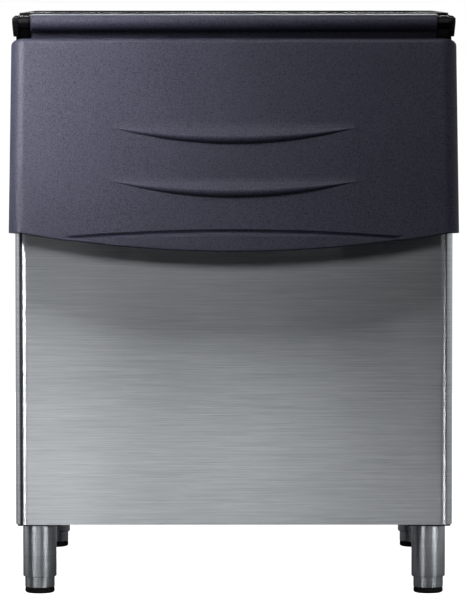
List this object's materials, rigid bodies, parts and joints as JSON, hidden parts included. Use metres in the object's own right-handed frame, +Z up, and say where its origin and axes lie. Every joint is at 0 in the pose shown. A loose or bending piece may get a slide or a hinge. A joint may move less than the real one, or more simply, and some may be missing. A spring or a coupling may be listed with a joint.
{
  "type": "ice storage bin",
  "caption": "Insulated ice storage bin: stainless-clad cabinet open at the top, sloped front with a moulded lift-up door, and levelling legs.",
  "frame": {"origin": "centre of the base of the bounding box, on the floor under the feet", "axes": "+Z up; -Y is the front, where the door is; +X is the right-hand side seen from the front"},
  "size_m": [0.775, 0.8854, 1.016],
  "materials": {
    "brushed_steel": "satin",
    "galvanised_steel": "satin",
    "satin_tube": "satin",
    "dark_steel": "satin",
    "door_plastic": "matte",
    "black_plastic": "satin",
    "black_rubber": "matte",
    "liner_plastic": "satin",
    "foam": "matte"
  },
  "bodies": {
    "cabinet": {"outer_wrap": "brushed_steel", "back_panel": "galvanised_steel", "base_pan": "galvanised_steel", "liner": "liner_plastic", "foam_insulation": "foam", "top_rim": "black_plastic", "door_collar": "black_plastic", "ice_deflector": "brushed_steel", "deflector_screw_left": "black_plastic", "deflector_screw_right": "black_plastic", "drain_seat": "liner_plastic", "drain_fitting": "black_plastic", "drain_nut": "black_plastic", "drain_strainer": "brushed_steel", "hinge_bracket_left": "black_plastic", "hinge_bracket_right": "black_plastic", "hinge_pin_left": "dark_steel", "hinge_pin_right": "dark_steel", "door_bumper_left": "black_rubber", "door_bumper_right": "black_rubber", "bracket_screw_left_1": "dark_steel", "bracket_screw_left_2": "dark_steel", "bracket_screw_right_1": "dark_steel", "bracket_screw_right_2": "dark_steel", "leg_plate_front_left": "dark_steel", "leg_plate_front_right": "dark_steel", "leg_plate_rear_left": "dark_steel", "leg_plate_rear_right": "dark_steel", "leg_sleeve_front_left": "satin_tube", "leg_sleeve_front_right": "satin_tube", "leg_sleeve_rear_left": "satin_tube", "leg_sleeve_rear_right": "satin_tube"},
    "door": {"door_shell": "door_plastic", "door_liner": "liner_plastic", "door_foam": "foam", "hinge_bush_left": "black_plastic", "hinge_bush_right": "black_plastic"},
    "foot_front_left": {"foot_tube_front_left": "satin_tube", "foot_pad_front_left": "black_rubber"},
    "foot_front_right": {"foot_tube_front_right": "satin_tube", "foot_pad_front_right": "black_rubber"},
    "foot_rear_left": {"foot_tube_rear_left": "satin_tube", "foot_pad_rear_left": "black_rubber"},
    "foot_rear_right": {"foot_tube_rear_right": "satin_tube", "foot_pad_rear_right": "black_rubber"}
  },
  "joints": [
    {"name": "door_hinge", "type": "hinge", "parent": "cabinet", "child": "door", "pos_m": [0, -0.31231, 0.999], "axis": [-1, 0, 0], "range_deg": [0, 168]},
    {"name": "foot_front_left_slide", "type": "slide", "parent": "cabinet", "child": "foot_front_left", "axis": [0, 0, 1], "range_m": [-0.026, 0.018]},
    {"name": "foot_front_right_slide", "type": "slide", "parent": "cabinet", "child": "foot_front_right", "axis": [0, 0, 1], "range_m": [-0.026, 0.018]},
    {"name": "foot_rear_left_slide", "type": "slide", "parent": "cabinet", "child": "foot_rear_left", "axis": [0, 0, 1], "range_m": [-0.026, 0.018]},
    {"name": "foot_rear_right_slide", "type": "slide", "parent": "cabinet", "child": "foot_rear_right", "axis": [0, 0, 1], "range_m": [-0.026, 0.018]}
  ]
}
